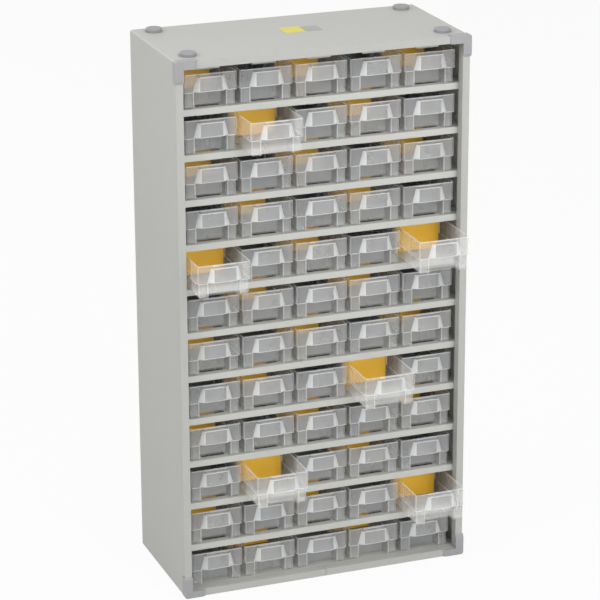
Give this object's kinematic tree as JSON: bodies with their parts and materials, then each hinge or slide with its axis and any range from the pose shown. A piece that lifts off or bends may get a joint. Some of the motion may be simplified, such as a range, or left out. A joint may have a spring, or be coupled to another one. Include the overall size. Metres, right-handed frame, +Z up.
{
  "type": "parts bin cabinet",
  "caption": "Upright sheet-steel cabinet with rows of small frosted clear drawers on folded shelves, corner caps, stacking studs and yellow drawer dividers.",
  "frame": {"origin": "centre of the casing's footprint, on its underside", "axes": "+Z up, the drawers open towards -Y, +X to the right of someone who faces them"},
  "size_m": [0.306, 0.1793, 0.5588],
  "materials": {
    "casing_paint": "satin powder coat",
    "shelf_paint": "satin powder coat",
    "cap_plastic": "fine matt moulded plastic",
    "rivet_metal": "plain zinc plated",
    "drawer_plastic": "frosted clear polypropylene",
    "label_film": "plain printed film"
  },
  "bodies": {
    "cabinet": {"casing_shell": "casing_paint", "back_panel": "casing_paint", "back_rivets": "rivet_metal", "shelves": "shelf_paint", "floor_shelf": "shelf_paint", "top_stop_rail": "shelf_paint", "upper_corner_caps": "cap_plastic", "lower_corner_caps": "cap_plastic", "stacking_studs": "cap_plastic", "stud_clips": "rivet_metal", "base_cups": "cap_plastic", "top_label": "label_film"},
    "drawer_r01_c1": {"drawer_r01_c1": "drawer_plastic"},
    "drawer_r01_c2": {"drawer_r01_c2": "drawer_plastic"},
    "drawer_r01_c3_4": {"drawer_r01_c3_4": "drawer_plastic"},
    "drawer_r01_c5": {"drawer_r01_c5": "drawer_plastic"},
    "drawer_r02_c1": {"drawer_r02_c1": "drawer_plastic"},
    "drawer_r02_c2": {"drawer_r02_c2": "drawer_plastic"},
    "drawer_r02_c3_4": {"drawer_r02_c3_4": "drawer_plastic"},
    "drawer_r02_c5": {"drawer_r02_c5": "drawer_plastic"},
    "drawer_r03_c1": {"drawer_r03_c1": "drawer_plastic"},
    "drawer_r03_c2": {"drawer_r03_c2": "drawer_plastic"},
    "drawer_r03_c3_4": {"drawer_r03_c3_4": "drawer_plastic"},
    "drawer_r03_c5": {"drawer_r03_c5": "drawer_plastic"},
    "drawer_r04_c1": {"drawer_r04_c1": "drawer_plastic"},
    "drawer_r04_c2": {"drawer_r04_c2": "drawer_plastic"},
    "drawer_r04_c3_4": {"drawer_r04_c3_4": "drawer_plastic"},
    "drawer_r04_c5": {"drawer_r04_c5": "drawer_plastic"},
    "drawer_r05_c1": {"drawer_r05_c1": "drawer_plastic"},
    "drawer_r05_c2": {"drawer_r05_c2": "drawer_plastic"},
    "drawer_r05_c3_4": {"drawer_r05_c3_4": "drawer_plastic"},
    "drawer_r05_c5": {"drawer_r05_c5": "drawer_plastic"},
    "drawer_r06_c1": {"drawer_r06_c1": "drawer_plastic"},
    "drawer_r06_c2": {"drawer_r06_c2": "drawer_plastic"},
    "drawer_r06_c3_4": {"drawer_r06_c3_4": "drawer_plastic"},
    "drawer_r06_c5": {"drawer_r06_c5": "drawer_plastic"},
    "drawer_r07_c1": {"drawer_r07_c1": "drawer_plastic"},
    "drawer_r07_c2": {"drawer_r07_c2": "drawer_plastic"},
    "drawer_r07_c3_4": {"drawer_r07_c3_4": "drawer_plastic"},
    "drawer_r07_c5": {"drawer_r07_c5": "drawer_plastic"},
    "drawer_r08_c1": {"drawer_r08_c1": "drawer_plastic"},
    "drawer_r08_c2_3": {"drawer_r08_c2_3": "drawer_plastic"},
    "drawer_r08_c4": {"drawer_r08_c4": "drawer_plastic"},
    "drawer_r08_c5": {"drawer_r08_c5": "drawer_plastic"},
    "drawer_r09_c1": {"drawer_r09_c1": "drawer_plastic"},
    "drawer_r09_c2": {"drawer_r09_c2": "drawer_plastic"},
    "drawer_r09_c3_4": {"drawer_r09_c3_4": "drawer_plastic"},
    "drawer_r09_c5": {"drawer_r09_c5": "drawer_plastic"},
    "drawer_r10_c1": {"drawer_r10_c1": "drawer_plastic"},
    "drawer_r10_c2": {"drawer_r10_c2": "drawer_plastic"},
    "drawer_r10_c3_4": {"drawer_r10_c3_4": "drawer_plastic"},
    "drawer_r10_c5": {"drawer_r10_c5": "drawer_plastic"},
    "drawer_r11_c1": {"drawer_r11_c1": "drawer_plastic"},
    "drawer_r11_c2": {"drawer_r11_c2": "drawer_plastic"},
    "drawer_r11_c3_4": {"drawer_r11_c3_4": "drawer_plastic"},
    "drawer_r11_c5": {"drawer_r11_c5": "drawer_plastic"},
    "drawer_r12_c1": {"drawer_r12_c1": "drawer_plastic"},
    "drawer_r12_c2": {"drawer_r12_c2": "drawer_plastic"},
    "drawer_r12_c3_4": {"drawer_r12_c3_4": "drawer_plastic"},
    "drawer_r12_c5": {"drawer_r12_c5": "drawer_plastic"}
  },
  "joints": [
    {"name": "slide_r01_c1", "type": "slide", "parent": "cabinet", "child": "drawer_r01_c1", "axis": [0, -1, 0], "range_m": [0, 0.118]},
    {"name": "slide_r01_c2", "type": "slide", "parent": "cabinet", "child": "drawer_r01_c2", "axis": [0, -1, 0], "range_m": [0, 0.118]},
    {"name": "slide_r01_c3_4", "type": "slide", "parent": "cabinet", "child": "drawer_r01_c3_4", "axis": [0, -1, 0], "range_m": [0, 0.118]},
    {"name": "slide_r01_c5", "type": "slide", "parent": "cabinet", "child": "drawer_r01_c5", "axis": [0, -1, 0], "range_m": [0, 0.118]},
    {"name": "slide_r02_c1", "type": "slide", "parent": "cabinet", "child": "drawer_r02_c1", "axis": [0, -1, 0], "range_m": [0, 0.118]},
    {"name": "slide_r02_c2", "type": "slide", "parent": "cabinet", "child": "drawer_r02_c2", "axis": [0, -1, 0], "range_m": [-0.0295, 0.0885]},
    {"name": "slide_r02_c3_4", "type": "slide", "parent": "cabinet", "child": "drawer_r02_c3_4", "axis": [0, -1, 0], "range_m": [0, 0.118]},
    {"name": "slide_r02_c5", "type": "slide", "parent": "cabinet", "child": "drawer_r02_c5", "axis": [0, -1, 0], "range_m": [0, 0.118]},
    {"name": "slide_r03_c1", "type": "slide", "parent": "cabinet", "child": "drawer_r03_c1", "axis": [0, -1, 0], "range_m": [0, 0.118]},
    {"name": "slide_r03_c2", "type": "slide", "parent": "cabinet", "child": "drawer_r03_c2", "axis": [0, -1, 0], "range_m": [0, 0.118]},
    {"name": "slide_r03_c3_4", "type": "slide", "parent": "cabinet", "child": "drawer_r03_c3_4", "axis": [0, -1, 0], "range_m": [0, 0.118]},
    {"name": "slide_r03_c5", "type": "slide", "parent": "cabinet", "child": "drawer_r03_c5", "axis": [0, -1, 0], "range_m": [0, 0.118]},
    {"name": "slide_r04_c1", "type": "slide", "parent": "cabinet", "child": "drawer_r04_c1", "axis": [0, -1, 0], "range_m": [0, 0.118]},
    {"name": "slide_r04_c2", "type": "slide", "parent": "cabinet", "child": "drawer_r04_c2", "axis": [0, -1, 0], "range_m": [0, 0.118]},
    {"name": "slide_r04_c3_4", "type": "slide", "parent": "cabinet", "child": "drawer_r04_c3_4", "axis": [0, -1, 0], "range_m": [0, 0.118]},
    {"name": "slide_r04_c5", "type": "slide", "parent": "cabinet", "child": "drawer_r04_c5", "axis": [0, -1, 0], "range_m": [0, 0.118]},
    {"name": "slide_r05_c1", "type": "slide", "parent": "cabinet", "child": "drawer_r05_c1", "axis": [0, -1, 0], "range_m": [-0.034, 0.084]},
    {"name": "slide_r05_c2", "type": "slide", "parent": "cabinet", "child": "drawer_r05_c2", "axis": [0, -1, 0], "range_m": [0, 0.118]},
    {"name": "slide_r05_c3_4", "type": "slide", "parent": "cabinet", "child": "drawer_r05_c3_4", "axis": [0, -1, 0], "range_m": [0, 0.118]},
    {"name": "slide_r05_c5", "type": "slide", "parent": "cabinet", "child": "drawer_r05_c5", "axis": [0, -1, 0], "range_m": [-0.042, 0.076]},
    {"name": "slide_r06_c1", "type": "slide", "parent": "cabinet", "child": "drawer_r06_c1", "axis": [0, -1, 0], "range_m": [0, 0.118]},
    {"name": "slide_r06_c2", "type": "slide", "parent": "cabinet", "child": "drawer_r06_c2", "axis": [0, -1, 0], "range_m": [0, 0.118]},
    {"name": "slide_r06_c3_4", "type": "slide", "parent": "cabinet", "child": "drawer_r06_c3_4", "axis": [0, -1, 0], "range_m": [0, 0.118]},
    {"name": "slide_r06_c5", "type": "slide", "parent": "cabinet", "child": "drawer_r06_c5", "axis": [0, -1, 0], "range_m": [0, 0.118]},
    {"name": "slide_r07_c1", "type": "slide", "parent": "cabinet", "child": "drawer_r07_c1", "axis": [0, -1, 0], "range_m": [0, 0.118]},
    {"name": "slide_r07_c2", "type": "slide", "parent": "cabinet", "child": "drawer_r07_c2", "axis": [0, -1, 0], "range_m": [0, 0.118]},
    {"name": "slide_r07_c3_4", "type": "slide", "parent": "cabinet", "child": "drawer_r07_c3_4", "axis": [0, -1, 0], "range_m": [0, 0.118]},
    {"name": "slide_r07_c5", "type": "slide", "parent": "cabinet", "child": "drawer_r07_c5", "axis": [0, -1, 0], "range_m": [0, 0.118]},
    {"name": "slide_r08_c1", "type": "slide", "parent": "cabinet", "child": "drawer_r08_c1", "axis": [0, -1, 0], "range_m": [0, 0.118]},
    {"name": "slide_r08_c2_3", "type": "slide", "parent": "cabinet", "child": "drawer_r08_c2_3", "axis": [0, -1, 0], "range_m": [0, 0.118]},
    {"name": "slide_r08_c4", "type": "slide", "parent": "cabinet", "child": "drawer_r08_c4", "axis": [0, -1, 0], "range_m": [-0.042, 0.076]},
    {"name": "slide_r08_c5", "type": "slide", "parent": "cabinet", "child": "drawer_r08_c5", "axis": [0, -1, 0], "range_m": [0, 0.118]},
    {"name": "slide_r09_c1", "type": "slide", "parent": "cabinet", "child": "drawer_r09_c1", "axis": [0, -1, 0], "range_m": [0, 0.118]},
    {"name": "slide_r09_c2", "type": "slide", "parent": "cabinet", "child": "drawer_r09_c2", "axis": [0, -1, 0], "range_m": [0, 0.118]},
    {"name": "slide_r09_c3_4", "type": "slide", "parent": "cabinet", "child": "drawer_r09_c3_4", "axis": [0, -1, 0], "range_m": [0, 0.118]},
    {"name": "slide_r09_c5", "type": "slide", "parent": "cabinet", "child": "drawer_r09_c5", "axis": [0, -1, 0], "range_m": [0, 0.118]},
    {"name": "slide_r10_c1", "type": "slide", "parent": "cabinet", "child": "drawer_r10_c1", "axis": [0, -1, 0], "range_m": [0, 0.118]},
    {"name": "slide_r10_c2", "type": "slide", "parent": "cabinet", "child": "drawer_r10_c2", "axis": [0, -1, 0], "range_m": [-0.0395, 0.0785]},
    {"name": "slide_r10_c3_4", "type": "slide", "parent": "cabinet", "child": "drawer_r10_c3_4", "axis": [0, -1, 0], "range_m": [0, 0.118]},
    {"name": "slide_r10_c5", "type": "slide", "parent": "cabinet", "child": "drawer_r10_c5", "axis": [0, -1, 0], "range_m": [0, 0.118]},
    {"name": "slide_r11_c1", "type": "slide", "parent": "cabinet", "child": "drawer_r11_c1", "axis": [0, -1, 0], "range_m": [0, 0.118]},
    {"name": "slide_r11_c2", "type": "slide", "parent": "cabinet", "child": "drawer_r11_c2", "axis": [0, -1, 0], "range_m": [0, 0.118]},
    {"name": "slide_r11_c3_4", "type": "slide", "parent": "cabinet", "child": "drawer_r11_c3_4", "axis": [0, -1, 0], "range_m": [0, 0.118]},
    {"name": "slide_r11_c5", "type": "slide", "parent": "cabinet", "child": "drawer_r11_c5", "axis": [0, -1, 0], "range_m": [-0.039, 0.079]},
    {"name": "slide_r12_c1", "type": "slide", "parent": "cabinet", "child": "drawer_r12_c1", "axis": [0, -1, 0], "range_m": [0, 0.118]},
    {"name": "slide_r12_c2", "type": "slide", "parent": "cabinet", "child": "drawer_r12_c2", "axis": [0, -1, 0], "range_m": [0, 0.118]},
    {"name": "slide_r12_c3_4", "type": "slide", "parent": "cabinet", "child": "drawer_r12_c3_4", "axis": [0, -1, 0], "range_m": [0, 0.118]},
    {"name": "slide_r12_c5", "type": "slide", "parent": "cabinet", "child": "drawer_r12_c5", "axis": [0, -1, 0], "range_m": [0, 0.118]}
  ]
}
